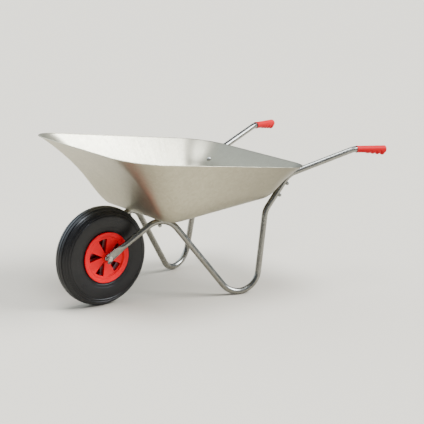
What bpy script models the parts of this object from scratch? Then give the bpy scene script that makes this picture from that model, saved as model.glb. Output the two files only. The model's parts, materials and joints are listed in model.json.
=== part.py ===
"""Single-wheel garden wheelbarrow: a pressed steel tray on two bent side tubes.

Frame: origin on the ground under the middle of the barrow, +X forwards (the wheel end),
+Y to the operator's left, +Z up. Lengths are in metres.
"""
import math

import bmesh
import bpy
from mathutils import Matrix, Vector
from mathutils.bvhtree import BVHTree

# ---- driving dimensions -------------------------------------------------------------
GAP = 0.0003                    # clearance between pieces that touch

# wheel
WHEEL_X = 0.500                 # axle's place along the barrow
WHEEL_R = 0.200                 # tyre's outer radius, which is also the axle's height
TYRE_HALF_WIDTH = 0.0435
TYRE_SECTION_R = 0.1500         # radius at which the tyre is widest
BEAD_R = 0.0985
BEAD_HALF_WIDTH = 0.0372
SIDEWALL = 0.005                # rubber thickness at the side and at the tread
TREAD = 0.010
RIM_FLANGE_R = 0.1025
RIM_HALF_WIDTH = 0.0445
RIM_SEAT_R = BEAD_R - GAP
WEB_HALF_WIDTH = 0.0360         # outer face of the spoked web
WEB_R = 0.0790                  # radius where the web meets the flange ring
CAVITY_HALF_WIDTH = 0.0080      # hollow between the two webs
CAVITY_R = (0.0200, 0.0840)
WINDOW_COUNT = 5
WINDOW_ANGLE = math.radians(31)
WINDOW_FIRST = math.radians(151.4)   # first window's direction, from +X towards +Z
WINDOW_R = (0.0165, 0.0755)
HUB_R = 0.0185
HUB_HALF_LENGTH = 0.0460

# axle, bushes and the nuts on it
AXLE_R = 0.0060
BUSH_R = 0.0090
BUSH_BORE_R = AXLE_R + 0.0004
BUSH_LENGTH = 0.0250
BUSH_FLANGE_R = 0.0125
BUSH_FLANGE = 0.0020
SPACER_R = 0.0085
AXLE_HEX = 0.018                # across flats
AXLE_HEAD = 0.0075
AXLE_WASHER_R = 0.0112
AXLE_WASHER = 0.0016
AXLE_END = 0.004                # thread that stands past the nut

# side tubes
TUBE_R = 0.0125
TUBE_WALL = 0.0016
FORK_Y = 0.0600                 # middle of the flattened end beside the wheel
FORK_HALF_WIDTH = 0.0172
FORK_MID = 0.0020               # half thickness of the flattened end at its middle
FORK_LIP = 0.0040               # and at its two rounded edges
FORK_TIP = 0.0170               # length past the axle
FORK_FLAT = 0.028               # the end is fully flattened up to here
FORK_ROUND = 0.085              # and a full round tube from here
FORK_BORE_START = 0.125
FORK_RISE = math.radians(34.0)
SLOT_HALF_WIDTH = AXLE_R + 0.0004
SPLAY = 0.2879                  # how fast the side tubes part towards the handles
LEAN = 0.0872                   # how fast they lean in with height
SIDE_Y = 0.0572                 # side plane's distance from the middle at the axle
# corners of a side tube from the hump to the grip: x, z, bend radius
SIDE_CORNERS = [
    (0.2682, 0.3607, 0.0868),
    (-0.0757, -0.1177, 0.088),
    (-0.1499, 0.3359, 0.080),
    (-0.2554, 0.4767, 0.080),
    (-0.5450, 0.5604, 0.080),
]
HANDLE_END = (-0.6860, 0.5518)
BEND_STEP = math.radians(11)
TUBE_ROUND = 6                  # bevel resolution of a side tube, and of its bore
BORE_ROUND = 2

# grips
GRIP_START = 0.0135             # from the handle's last corner to the grip's mouth
GRIP_END_X = -0.6890
GRIP_R = (0.0142, 0.0155)
GRIP_LOBES = 4
GRIP_LOBE_SPAN = (0.30, 0.97)   # where the finger lobes lie, as a share of the length
GRIP_LOBE = (0.0020, 0.0105)    # height of the first and the last lobe
GRIP_RINGS = 26

# tray: sharp corners of the rim and of the floor as x, half width, z
RIM_FRONT = Vector((0.6120, 0.3900, 0.6488))
RIM_REAR = Vector((-0.3027, 0.3750, 0.5185))
FLOOR_FRONT = Vector((0.3589, 0.2630, 0.3460))
FLOOR_REAR = Vector((-0.1960, 0.2767, 0.3985))
RIM_CORNER_R = (0.151, 0.145)   # front and rear
FLOOR_CORNER_R = (0.066, 0.077)
FLARE = (0.59, 0.20, 0.76)      # curve of the front, side and rear walls
FLOOR_FILLET = 0.045
REAR_FILLET_SHARE = 0.55        # the floor's rear edge is rounded more tightly
FILLET_DEPTH = 0.36             # share of the wall's height that the fillet takes
SHEET = 0.0012
FLOOR_FACING = 0.99             # only the floor's faces look up as squarely as this
LOAD_FRONT = 0.255              # the floor behind this x, clear of the bolts, takes the load
WALL_RINGS = 7
FILLET_RINGS = 5
CORNER_SEGMENTS = 5

# tray bolts: where they cross each side tube's centreline, as x, and how far the washer
# stands off the tube's underside, which is hollow along the bend at the front
BOLTS = {"front": (0.288, 0.0010), "lower": (-0.2015, 0.0), "upper": (-0.2355, 0.0)}
BOLT_R = 0.0040
BOLT_HOLE_R = 0.0048
BOLT_HEAD_R = 0.0088
BOLT_HEAD = 0.0040
HEAD_CLEARANCE = 0.0006         # for the curve of the sheet under the head
BOLT_WASHER_R = 0.0080
BOLT_WASHER = 0.0014
BOLT_HEX = 0.013
BOLT_NUT = 0.0065
BOLT_END = 0.003
TRAY_SPACER_R = 0.0085          # sleeve between the tray's front and the side tube

# valve
VALVE_R = 0.0035
VALVE_HOLE_R = 0.0045
VALVE_TIP_R = 0.0640            # how near the axle the valve reaches
VALVE_CAP_R = 0.0046
VALVE_CAP_LENGTH = 0.011
TUBE_SECTION = (0.0305, 0.0385) # inner tube's half width and half height
TUBE_SECTION_R = 0.1465
TUBE_SKIN = 0.0018

ROUND = 40                      # steps of the large turned parts
SMALL_ROUND = 20
FASTENER_ROUND = 12


# ---- helpers ------------------------------------------------------------------------
def clear_scene():
    for obj in list(bpy.data.objects):
        bpy.data.objects.remove(obj, do_unlink=True)


def collection(name):
    group = bpy.data.collections.new(name)
    bpy.context.scene.collection.children.link(group)
    return group


def material(name, colour, roughness, metallic=0.0):
    mat = bpy.data.materials.new(name)
    mat.use_nodes = True
    shader = mat.node_tree.nodes["Principled BSDF"]
    shader.inputs["Base Color"].default_value = (*colour, 1.0)
    shader.inputs["Roughness"].default_value = roughness
    shader.inputs["Metallic"].default_value = metallic
    return mat


def mesh_object(name, bm, mat=None, group=None, smooth=True):
    """A new object from a bmesh, which is freed."""
    mesh = bpy.data.meshes.new(name)
    bm.to_mesh(mesh)
    bm.free()
    if smooth:
        mesh.shade_smooth()
        mesh.set_sharp_from_angle(angle=math.radians(35))
    obj = bpy.data.objects.new(name, mesh)
    if mat:
        mesh.materials.append(mat)
    (group or PARTS).objects.link(obj)
    if group is CUTTERS:
        obj.hide_render = True
        obj.display_type = "WIRE"
    return obj


def boolean(obj, other, operation="DIFFERENCE"):
    mod = obj.modifiers.new(operation.title(), "BOOLEAN")
    mod.operation = operation
    mod.solver = "EXACT"
    mod.object = other


def applied(obj):
    """Fix the object's modifiers into its mesh."""
    graph = bpy.context.evaluated_depsgraph_get()
    mesh = bpy.data.meshes.new_from_object(obj.evaluated_get(graph))
    obj.modifiers.clear()
    obj.data = mesh
    return obj


def turned(name, profile, mat=None, group=None, steps=ROUND, closed=True):
    """Turn a profile of (radius, height) points, outer side from top to bottom, about Z."""
    bm = bmesh.new()
    verts = [bm.verts.new((radius, 0.0, height)) for radius, height in profile]
    for first, second in zip(verts, verts[1:]):
        bm.edges.new((first, second))
    if closed:
        bm.edges.new((verts[-1], verts[0]))
    obj = mesh_object(name, bm, mat, group, smooth=False)
    screw = obj.modifiers.new("Turn", "SCREW")
    screw.steps = screw.render_steps = steps
    screw.use_merge_vertices = True
    screw.merge_threshold = 0.00001
    screw.use_smooth_shade = True
    return obj


def across(obj, place=(WHEEL_X, 0.0, WHEEL_R), flip=False):
    """Lay a turned piece's axis along the axle, its top towards +Y, or -Y if flipped."""
    obj.location = place
    obj.rotation_euler = (math.radians(90 if flip else -90), 0.0, 0.0)
    return obj


def cylinder(name, radius, height, steps, mat=None, group=None):
    """A cylinder on Z whose base is at the origin."""
    bm = bmesh.new()
    bmesh.ops.create_cone(bm, cap_ends=True, segments=steps, radius1=radius, radius2=radius,
                          depth=height, matrix=Matrix.Translation((0, 0, height / 2)))
    return mesh_object(name, bm, mat, group)


def hexagon(name, across_flats, height, hole_r, mat):
    """A nut: a hexagonal prism on Z with a plain hole."""
    nut = cylinder(name, across_flats / math.sqrt(3), height, 6, mat)
    bevel = nut.modifiers.new("Edges", "BEVEL")
    bevel.width = height * 0.08
    bevel.segments = 1
    if hole_r:
        hole = cylinder(name + "_hole", hole_r, height * 2, FASTENER_ROUND, group=CUTTERS)
        hole.location.z = -height / 2
        boolean(nut, hole)
        applied(nut)
        bpy.data.objects.remove(hole)
    return nut


def ring(name, inner_r, outer_r, height, mat, steps=SMALL_ROUND):
    """A washer or a sleeve on Z whose base is at the origin."""
    return turned(name, [(outer_r, height), (outer_r, 0), (inner_r, 0), (inner_r, height)],
                  mat, steps=steps)


def arc(centre, radius, start, end, count):
    """Points of an arc in a profile, angles in degrees from +X."""
    return [(centre[0] + radius * math.cos(math.radians(start + (end - start) * i / count)),
             centre[1] + radius * math.sin(math.radians(start + (end - start) * i / count)))
            for i in range(count + 1)]


def smoothstep(low, high, value):
    share = min(max((value - low) / (high - low), 0.0), 1.0)
    return share * share * (3 - 2 * share)


def filleted(corners, radii):
    """A path through the corners with each inner corner rounded to its radius."""
    path = [corners[0]]
    for before, corner, after, radius in zip(corners, corners[1:], corners[2:], radii):
        back = (before - corner).normalized()
        ahead = (after - corner).normalized()
        turn = math.pi - back.angle(ahead)
        centre = corner + (back + ahead).normalized() * (radius / math.cos(turn / 2))
        start = corner + back * (radius * math.tan(turn / 2)) - centre
        axis = back.cross(start).normalized()
        steps = max(2, math.ceil(turn / BEND_STEP))
        for i in range(steps + 1):
            path.append(centre + Matrix.Rotation(turn * i / steps, 3, axis) @ start)
    path.append(corners[-1])
    return path


def swept(name, path, radius, resolution, mat=None, group=None):
    """A round bar along a path, as a closed mesh."""
    curve = bpy.data.curves.new(name, "CURVE")
    curve.dimensions = "3D"
    curve.bevel_depth = radius
    curve.bevel_resolution = resolution
    curve.use_fill_caps = True
    spline = curve.splines.new("POLY")
    spline.points.add(len(path) - 1)
    for point, place in zip(spline.points, path):
        point.co = (*place, 1.0)
    guide = bpy.data.objects.new(name, curve)
    PARTS.objects.link(guide)
    graph = bpy.context.evaluated_depsgraph_get()
    mesh = bpy.data.meshes.new_from_object(guide.evaluated_get(graph))
    bm = bmesh.new()
    bm.from_mesh(mesh)
    bmesh.ops.remove_doubles(bm, verts=bm.verts, dist=0.00001)
    bmesh.ops.recalc_face_normals(bm, faces=bm.faces)
    bpy.data.meshes.remove(mesh)
    bpy.data.objects.remove(guide)
    return mesh_object(name, bm, mat, group)


def mirrored(name, obj):
    """The same piece on the other side of the barrow, as its own object."""
    bm = bmesh.new()
    bm.from_mesh(obj.data)
    bm.transform(Matrix.Diagonal((1, -1, 1, 1)) @ obj.matrix_world)
    bmesh.ops.reverse_faces(bm, faces=bm.faces)
    return mesh_object(name, bm, obj.data.materials[0])


# ---- wheel --------------------------------------------------------------------------
def tyre_outline(inset_side, inset_tread, count):
    """Half section of the tyre from the crown to the bead, as (radius, height) points."""
    half_width = TYRE_HALF_WIDTH - inset_side
    crown = WHEEL_R - inset_tread
    points = []
    for i in range(count + 1):
        angle = math.radians(90) * i / count
        width = half_width * math.sin(angle) ** 0.80
        rise = (crown - TYRE_SECTION_R) * math.cos(angle) ** 0.80 if i < count else 0.0
        points.append((TYRE_SECTION_R + rise, width))
    bead_width = BEAD_HALF_WIDTH - inset_side
    bead_top = RIM_FLANGE_R + 0.002
    for share in (0.35, 0.7, 1.0):
        radius = TYRE_SECTION_R + (bead_top - TYRE_SECTION_R) * share
        points.append((radius, bead_width + (half_width - bead_width) * (1 - share ** 2)))
    points.append((BEAD_R, bead_width))
    return points


def make_tyre(mat):
    outer = tyre_outline(0.0, 0.0, 7)
    inner = tyre_outline(SIDEWALL, TREAD, 4)
    profile = [(radius, height) for radius, height in reversed(outer)]
    profile += [(radius, -height) for radius, height in outer[1:]]
    profile += [(radius, -height) for radius, height in reversed(inner)]
    profile += [(radius, height) for radius, height in inner[1:]]
    return across(turned("tyre", profile, mat))


def make_inner_tube(mat):
    """A hollow ring with its valve stem, which is bored so that the tube is open to it."""
    def section(half_width, half_height, count):
        return [(TUBE_SECTION_R + half_height * math.cos(math.radians(90 - 360 * i / count)),
                 half_width * math.sin(math.radians(90 - 360 * i / count)))
                for i in range(count)]

    tube = turned("inner_tube", section(*TUBE_SECTION, 12), mat, steps=28)
    hollow = turned("inner_tube_hollow", section(TUBE_SECTION[0] - TUBE_SKIN,
                    TUBE_SECTION[1] - TUBE_SKIN, 12), group=CUTTERS, steps=28)
    boolean(tube, hollow)
    bore = cylinder("valve_bore", VALVE_R - 0.0012, TUBE_SECTION_R - VALVE_TIP_R, 12,
                    group=CUTTERS)
    stem = cylinder("valve_stem_body", VALVE_R,
                    TUBE_SECTION_R - TUBE_SECTION[1] + 0.0012 - VALVE_TIP_R, 16, group=CUTTERS)
    for piece in (stem, bore):
        piece.rotation_euler = (0, math.radians(90), 0)
        piece.location = (VALVE_TIP_R, 0, 0)
    bore.location.x -= 0.002
    boolean(tube, stem, "UNION")
    boolean(tube, bore)
    applied(tube)
    for cutter in (hollow, bore, stem):
        bpy.data.objects.remove(cutter)
    across(tube)
    tube.rotation_euler = (math.radians(-90), valve_turn(), 0)
    return tube


def valve_turn():
    """Turn about the axle that brings a piece from +X to the middle of the first window."""
    return -WINDOW_FIRST


def make_valve_cap(mat):
    start = VALVE_TIP_R - 0.003
    profile = [(VALVE_CAP_R * 0.7, VALVE_CAP_LENGTH), (VALVE_CAP_R, VALVE_CAP_LENGTH - 0.001),
               (VALVE_CAP_R, 0), (VALVE_R + GAP, 0), (VALVE_R + GAP, 0.006), (0, 0.006),
               (0, VALVE_CAP_LENGTH)]
    cap = turned("valve_cap", profile, mat, steps=16)
    turn = Matrix.Rotation(valve_turn(), 4, "Y")
    place = (Matrix.Translation((WHEEL_X, 0, WHEEL_R)) @ turn
             @ Matrix.Translation((start + 0.006, 0, 0)))
    cap.matrix_world = place @ Matrix.Rotation(math.radians(-90), 4, "Y")
    return cap


def make_rim(mat):
    """A moulded rim: flange rings, a bead seat, and two webs with wedge windows."""
    bore = BUSH_R + GAP
    half = [(bore, HUB_HALF_LENGTH), (HUB_R, HUB_HALF_LENGTH), (HUB_R + 0.002, WEB_HALF_WIDTH),
            (WEB_R, WEB_HALF_WIDTH), (WEB_R + 0.0015, RIM_HALF_WIDTH - 0.001),
            (WEB_R + 0.0030, RIM_HALF_WIDTH), (RIM_FLANGE_R - 0.004, RIM_HALF_WIDTH)]
    half += arc((RIM_FLANGE_R - 0.003, RIM_HALF_WIDTH - 0.003), 0.003, 75, 0, 3)
    half += [(RIM_FLANGE_R, BEAD_HALF_WIDTH + 0.001), (RIM_FLANGE_R - 0.001, BEAD_HALF_WIDTH + GAP),
             (RIM_SEAT_R, BEAD_HALF_WIDTH + GAP)]
    profile = half + [(radius, -height) for radius, height in reversed(half)]
    rim = turned("rim", profile, mat)
    cavity = turned("rim_cavity", [(CAVITY_R[1], CAVITY_HALF_WIDTH), (CAVITY_R[1], -CAVITY_HALF_WIDTH),
                    (CAVITY_R[0], -CAVITY_HALF_WIDTH), (CAVITY_R[0], CAVITY_HALF_WIDTH)],
                    group=CUTTERS)
    cutters = [cavity]
    for i in range(WINDOW_COUNT):
        cutters.append(window_cutter(i))
    hole = cylinder("valve_hole", VALVE_HOLE_R, 0.04, 16, group=CUTTERS)
    hole.matrix_world = (Matrix.Rotation(valve_turn(), 4, "Z")
                         @ Matrix.Translation((0.07, 0, 0)) @ Matrix.Rotation(math.radians(90), 4, "Y"))
    cutters.append(hole)
    for cutter in cutters:
        boolean(rim, cutter)
    applied(rim)
    for cutter in cutters:
        bpy.data.objects.remove(cutter)
    return across(rim)


def window_cutter(index):
    """A wedge through both webs; its point is near the hub."""
    middle = -(WINDOW_FIRST + 2 * math.pi / WINDOW_COUNT * index)
    outline = [(WINDOW_R[0], 0.0)]
    for i in range(7):
        angle = WINDOW_ANGLE * (i / 6 - 0.5)
        outline.append((WINDOW_R[1] * math.cos(angle), WINDOW_R[1] * math.sin(angle)))
    turn = Matrix.Rotation(middle, 3, "Z")
    curve = bpy.data.curves.new("window", "CURVE")
    curve.dimensions = "2D"
    curve.fill_mode = "BOTH"
    curve.extrude = WEB_HALF_WIDTH + 0.02
    spline = curve.splines.new("POLY")
    spline.points.add(len(outline) - 1)
    for point, (x, y) in zip(spline.points, outline):
        point.co = (*(turn @ Vector((x, y, 0))), 1.0)
    spline.use_cyclic_u = True
    guide = bpy.data.objects.new("window", curve)
    CUTTERS.objects.link(guide)
    graph = bpy.context.evaluated_depsgraph_get()
    mesh = bpy.data.meshes.new_from_object(guide.evaluated_get(graph))
    bm = bmesh.new()
    bm.from_mesh(mesh)
    bmesh.ops.remove_doubles(bm, verts=bm.verts, dist=0.00001)
    bmesh.ops.recalc_face_normals(bm, faces=bm.faces)
    bpy.data.objects.remove(guide)
    return mesh_object(f"window_{index}", bm, group=CUTTERS, smooth=False)


def make_bush(side, mat):
    """A flanged bush in one end of the hub."""
    inside = HUB_HALF_LENGTH - BUSH_LENGTH
    outside = HUB_HALF_LENGTH + GAP
    profile = [(BUSH_BORE_R, outside + BUSH_FLANGE), (BUSH_FLANGE_R, outside + BUSH_FLANGE),
               (BUSH_FLANGE_R, outside), (BUSH_R, outside), (BUSH_R, inside), (BUSH_BORE_R, inside)]
    bush = turned(f"hub_bush_{side}", profile, mat, steps=SMALL_ROUND)
    return across(bush, flip=side == "right")


# ---- axle and the pieces on it --------------------------------------------------------
def axle_stack():
    """Distances from the middle of the axle to each face of the pieces on it."""
    spacer = HUB_HALF_LENGTH + BUSH_FLANGE + 2 * GAP
    plate_in = FORK_Y - FORK_MID
    plate_out = FORK_Y + FORK_MID
    washer = plate_out + GAP
    nut = washer + AXLE_WASHER + GAP
    return {"spacer": spacer, "plate_in": plate_in, "washer": washer, "nut": nut}


def make_axle(mat):
    """A long bolt, its hexagonal head on the left."""
    stack = axle_stack()
    low = -(stack["nut"] + AXLE_HEAD + AXLE_END)
    high = stack["nut"]
    bm = bmesh.new()
    bmesh.ops.create_cone(bm, cap_ends=True, segments=SMALL_ROUND, radius1=AXLE_R, radius2=AXLE_R,
                          depth=high - low + 0.002, matrix=Matrix.Translation((0, 0, (high + low) / 2)))
    axle = mesh_object("axle_bolt", bm, mat)
    head = cylinder("axle_head", AXLE_HEX / math.sqrt(3), AXLE_HEAD, 6, group=CUTTERS)
    head.location.z = high
    bevel = head.modifiers.new("Edges", "BEVEL")
    bevel.width = 0.0008
    boolean(axle, head, "UNION")
    applied(axle)
    bpy.data.objects.remove(head)
    return across(axle)


def make_axle_pieces(mats):
    stack = axle_stack()
    for side, sign in (("left", 1), ("right", -1)):
        spacer = ring(f"axle_spacer_{side}", AXLE_R + GAP, SPACER_R,
                      stack["plate_in"] - GAP - stack["spacer"], mats["spacer"])
        across(spacer, (WHEEL_X, sign * stack["spacer"], WHEEL_R), flip=sign < 0)
        washer = ring(f"axle_washer_{side}", AXLE_R + GAP, AXLE_WASHER_R, AXLE_WASHER, mats["washer"])
        across(washer, (WHEEL_X, sign * stack["washer"], WHEEL_R), flip=sign < 0)
    nut = hexagon("axle_nut", AXLE_HEX, AXLE_HEAD, AXLE_R + GAP, mats["nut"])
    across(nut, (WHEEL_X, -stack["nut"], WHEEL_R), flip=True)


# ---- side tubes and grips -------------------------------------------------------------
def side_y(x, z):
    """Half distance between the side tubes' planes at a point."""
    return SIDE_Y + SPLAY * (WHEEL_X - x) - LEAN * (z - WHEEL_R)


def side_point(x, z):
    return Vector((x, side_y(x, z), z))


def side_path():
    """Centreline of the left side tube from the fork's tip to the handle's end."""
    along = Vector((-math.cos(FORK_RISE), 0, math.sin(FORK_RISE)))
    axle = Vector((WHEEL_X, FORK_Y, WHEEL_R))
    corners = [axle - along * FORK_TIP, axle + along * FORK_FLAT]
    corners += [side_point(x, z) for x, z, radius in SIDE_CORNERS]
    corners.append(side_point(*HANDLE_END))
    return filleted(corners, [0.12] + [radius for x, z, radius in SIDE_CORNERS])


def flatten_fork(mesh, path):
    """Press the tube's front end flat beside the wheel, with two thick rounded edges."""
    along = Vector((-math.cos(FORK_RISE), 0, math.sin(FORK_RISE)))
    wide = Vector((math.sin(FORK_RISE), 0, math.cos(FORK_RISE)))
    axle = Vector((WHEEL_X, FORK_Y, WHEEL_R))
    for vert in mesh.vertices:
        reach = (vert.co - axle).dot(along)
        if reach > FORK_ROUND or vert.co.x < WHEEL_X - FORK_ROUND * 1.4:
            continue
        flat = 1 - smoothstep(FORK_FLAT, FORK_ROUND, reach)
        middle = centre_at(path, along, axle, reach)
        offset = vert.co - middle
        side = offset.dot(wide) / TUBE_R
        out = offset.y / TUBE_R
        lip = smoothstep(0.72, 0.90, abs(side))
        thick = FORK_MID + (FORK_LIP - FORK_MID) * lip
        pressed = thick * math.copysign(min(1.0, abs(out) / 0.35), out)
        new_out = out * TUBE_R * (1 - flat) + pressed * flat
        new_side = side * (TUBE_R * (1 - flat) + FORK_HALF_WIDTH * flat)
        vert.co += Vector((0, new_out - offset.y, 0)) + wide * (new_side - side * TUBE_R)


def centre_at(path, along, axle, reach):
    """The centreline's point at a distance along the fork."""
    for first, second in zip(path, path[1:]):
        low = (first - axle).dot(along)
        high = (second - axle).dot(along)
        if low <= reach <= high:
            return first.lerp(second, (reach - low) / max(high - low, 1e-9))
    return path[0]


def resampled(path, spacing, length):
    """Add points to the path's straight start, so that it can be reshaped."""
    dense = [path[0]]
    travelled = 0.0
    for first, second in zip(path, path[1:]):
        step = (second - first).length
        if travelled < length:
            pieces = max(1, round(min(step, length - travelled) / spacing))
            reach = min(step, length - travelled)
            for i in range(1, pieces + 1):
                dense.append(first.lerp(second, reach * i / pieces / step))
            if reach < step:
                dense.append(second)
        else:
            dense.append(second)
        travelled += step
    return dense


def make_side_tube(mat):
    path = side_path()
    tube = swept("frame_tube_left", resampled(path, 0.009, 0.12), TUBE_R, TUBE_ROUND, mat)
    flatten_fork(tube.data, path)
    start = next(i for i, place in enumerate(path) if (place - path[0]).length > FORK_BORE_START)
    ahead = (path[-1] - path[-2]).normalized()
    bore = swept("tube_bore", path[start:] + [path[-1] + ahead * 0.01], TUBE_R - TUBE_WALL,
                 BORE_ROUND, group=CUTTERS)
    slot = cylinder("axle_slot", SLOT_HALF_WIDTH, 0.04, SMALL_ROUND, group=CUTTERS)
    across(slot, (WHEEL_X, FORK_Y - 0.02, WHEEL_R))
    bm = bmesh.new()
    bmesh.ops.create_cube(bm, size=1.0, matrix=Matrix.Diagonal((0.04, 0.04, SLOT_HALF_WIDTH * 2, 1)))
    mouth = mesh_object("axle_slot_mouth", bm, group=CUTTERS, smooth=False)
    mouth.rotation_euler = (0, FORK_RISE, 0)
    mouth.location = Vector((WHEEL_X, FORK_Y, WHEEL_R)) + Vector(
        (math.cos(FORK_RISE), 0, -math.sin(FORK_RISE))) * 0.02
    return tube, path, [bore, slot, mouth]


def make_grip(mat):
    """A sleeve with four finger lobes below, closed at its end."""
    corner = side_point(*SIDE_CORNERS[-1][:2])
    end = side_point(*HANDLE_END)
    axis = (end - corner).normalized()
    start = corner + axis * GRIP_START
    length = (GRIP_END_X - start.x) / axis.x
    side = axis.cross(Vector((0, 0, 1))).normalized()
    up = side.cross(axis).normalized()
    sides = 14
    bm = bmesh.new()
    rings = []
    for i in range(GRIP_RINGS + 1):
        share = i / GRIP_RINGS
        radius = GRIP_R[0] + (GRIP_R[1] - GRIP_R[0]) * share
        low, high = GRIP_LOBE_SPAN
        inside = (share - low) / (high - low)
        lobe = 0.0
        if 0 < inside < 1:
            height = GRIP_LOBE[0] + (GRIP_LOBE[1] - GRIP_LOBE[0]) * inside
            lobe = height * abs(math.sin(math.pi * GRIP_LOBES * inside)) ** 0.8
        round_end = math.sqrt(max(0.0, 1 - max(0.0, (share - 0.94) / 0.06) ** 2)) * 0.35 + 0.65
        ring_verts = []
        for j in range(sides):
            angle = 2 * math.pi * j / sides
            down = max(0.0, -math.sin(angle)) ** 1.5
            reach = (radius + lobe * down) * (round_end if share > 0.94 else 1.0)
            place = start + axis * (length * share)
            place += side * (reach * math.cos(angle)) + up * (reach * math.sin(angle))
            ring_verts.append(bm.verts.new(place))
        rings.append(ring_verts)
    for lower, upper in zip(rings, rings[1:]):
        for j in range(sides):
            k = (j + 1) % sides
            bm.faces.new((lower[j], lower[k], upper[k], upper[j]))
    bm.faces.new(rings[0])
    bm.faces.new(rings[-1])
    bmesh.ops.recalc_face_normals(bm, faces=bm.faces)
    grip = mesh_object("grip_left", bm, mat)
    bore = cylinder("grip_bore", TUBE_R + GAP, (end - start).length + 0.01 + 0.0012, SMALL_ROUND,
                    group=CUTTERS)
    on_axis(bore, start - axis * 0.01, axis)
    boolean(grip, bore)
    applied(grip)
    bpy.data.objects.remove(bore)
    return grip


# ---- tray ---------------------------------------------------------------------------
def rounded_outline(corners, radii):
    """A four-sided outline whose corners are arcs, as (x, y) vectors."""
    points = []
    for i, (corner, radius) in enumerate(zip(corners, radii)):
        back = (corners[i - 1] - corner).normalized()
        ahead = (corners[(i + 1) % 4] - corner).normalized()
        half_angle = back.angle(ahead) / 2
        centre = corner + (back + ahead).normalized() * (radius / math.sin(half_angle))
        start = corner + back * (radius / math.tan(half_angle)) - centre
        end = corner + ahead * (radius / math.tan(half_angle)) - centre
        for k in range(CORNER_SEGMENTS + 1):
            share = k / CORNER_SEGMENTS
            points.append(centre + (start * (1 - share) + end * share).normalized() * radius)
    return points


def tray_ring(share, inset):
    """The tray's outline at a share of its depth, drawn in by an inset, as 3-D points."""
    bulge = share * (1 - share)
    front_x, side, rear_x = (share + flare * bulge for flare in FLARE)
    front = Vector((RIM_FRONT.x + (FLOOR_FRONT.x - RIM_FRONT.x) * front_x,
                    RIM_FRONT.y + (FLOOR_FRONT.y - RIM_FRONT.y) * side,
                    RIM_FRONT.z + (FLOOR_FRONT.z - RIM_FRONT.z) * share))
    rear = Vector((RIM_REAR.x + (FLOOR_REAR.x - RIM_REAR.x) * rear_x,
                   RIM_REAR.y + (FLOOR_REAR.y - RIM_REAR.y) * side,
                   RIM_REAR.z + (FLOOR_REAR.z - RIM_REAR.z) * share))
    back = rear.x + inset * REAR_FILLET_SHARE
    corners = [Vector((front.x - inset, front.y - inset)), Vector((back, rear.y - inset)),
               Vector((back, inset - rear.y)), Vector((front.x - inset, inset - front.y))]
    radii = [top + (floor - top) * share - inset * 0.3
             for top, floor in zip(RIM_CORNER_R, FLOOR_CORNER_R)]
    outline = rounded_outline(corners, [radii[0], radii[1], radii[1], radii[0]])
    slope = (rear.z - front.z) / (rear.x - front.x)
    return [Vector((p.x, p.y, front.z + slope * (p.x - front.x))) for p in outline]


def make_tray(mat):
    """A pressed pan: rounded outlines lofted from the rim to the floor."""
    rings = [tray_ring((1 - FILLET_DEPTH) * i / WALL_RINGS, 0.0) for i in range(WALL_RINGS + 1)]
    for i in range(1, FILLET_RINGS + 1):
        angle = math.radians(90) * i / FILLET_RINGS
        rings.append(tray_ring(1 - FILLET_DEPTH * (1 - math.sin(angle)),
                               FLOOR_FILLET * 0.75 * (1 - math.cos(angle))))
    bm = bmesh.new()
    loops = [[bm.verts.new(place) for place in outline] for outline in rings]
    count = len(loops[0])
    for upper, lower in zip(loops, loops[1:]):
        for j in range(count):
            k = (j + 1) % count
            bm.faces.new((upper[j], upper[k], lower[k], lower[j]))
    bm.faces.new(loops[-1])
    bmesh.ops.recalc_face_normals(bm, faces=bm.faces)
    if bm.faces[-1].normal.z > 0:
        bmesh.ops.reverse_faces(bm, faces=bm.faces)
    tray = mesh_object("tray", bm, mat)
    sheet = tray.modifiers.new("Sheet", "SOLIDIFY")
    sheet.thickness = SHEET
    sheet.offset = -1
    applied(tray)
    level_floor(tray, rings[-1])
    return tray


def level_floor(tray, outline):
    """Make the floor's inside exactly flat, a sheet's thickness above its underside."""
    fall = (FLOOR_REAR.z - FLOOR_FRONT.z) / (FLOOR_REAR.x - FLOOR_FRONT.x)
    normal = Vector((-fall, 0, 1)).normalized()
    for vert in tray.data.vertices:
        height = (vert.co - outline[0]).dot(normal)
        if abs(height - SHEET) < SHEET / 4:
            vert.co.z += (SHEET - height) / normal.z


def divide_floor(tray):
    """Divide the floor's inside across, so that its rear part has no bolt holes in it."""
    bm = bmesh.new()
    bm.from_mesh(tray.data)
    floor = [face for face in bm.faces if face.normal.z > FLOOR_FACING]
    parts = dict.fromkeys(part for face in floor for part in (*face.edges, *face.verts))
    bmesh.ops.bisect_plane(bm, geom=floor + list(parts), dist=0.00001,
                           plane_co=(LOAD_FRONT, 0, 0), plane_no=(1, 0, 0))
    bm.to_mesh(tray.data)
    bm.free()


# ---- bolts through the tray and the side tubes ------------------------------------------
def bolt_place(tray, path, x, seat):
    """A bolt's point on the tube's centreline, its axis into the tray, and how far the sheet is.

    The axis is square to the tube; the head stands off the sheet by what its tilt takes.
    """
    run = next((first, second) for first, second in zip(path, path[1:])
               if second.x <= x <= first.x and (x < 0 or first.z > 0.3))
    centre = run[0].lerp(run[1], (run[0].x - x) / (run[0].x - run[1].x))
    along = (run[1] - run[0]).normalized()
    graph = bpy.context.evaluated_depsgraph_get()
    sheet = BVHTree.FromObject(tray, graph)
    near = sheet.find_nearest(centre)[0]
    axis = (near - centre) - along * (near - centre).dot(along)
    axis.normalize()
    _, normal, _, reach = sheet.ray_cast(centre, axis)
    tilt = math.tan(min(normal.angle(axis), normal.angle(-axis)))
    stand_off = BOLT_HEAD_R * tilt + HEAD_CLEARANCE
    return {"centre": centre, "axis": axis, "reach": reach, "stand_off": stand_off, "seat": seat}


def on_axis(obj, base, axis):
    obj.matrix_world = Matrix.Translation(base) @ axis.to_track_quat("Z", "Y").to_matrix().to_4x4()
    return obj


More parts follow.
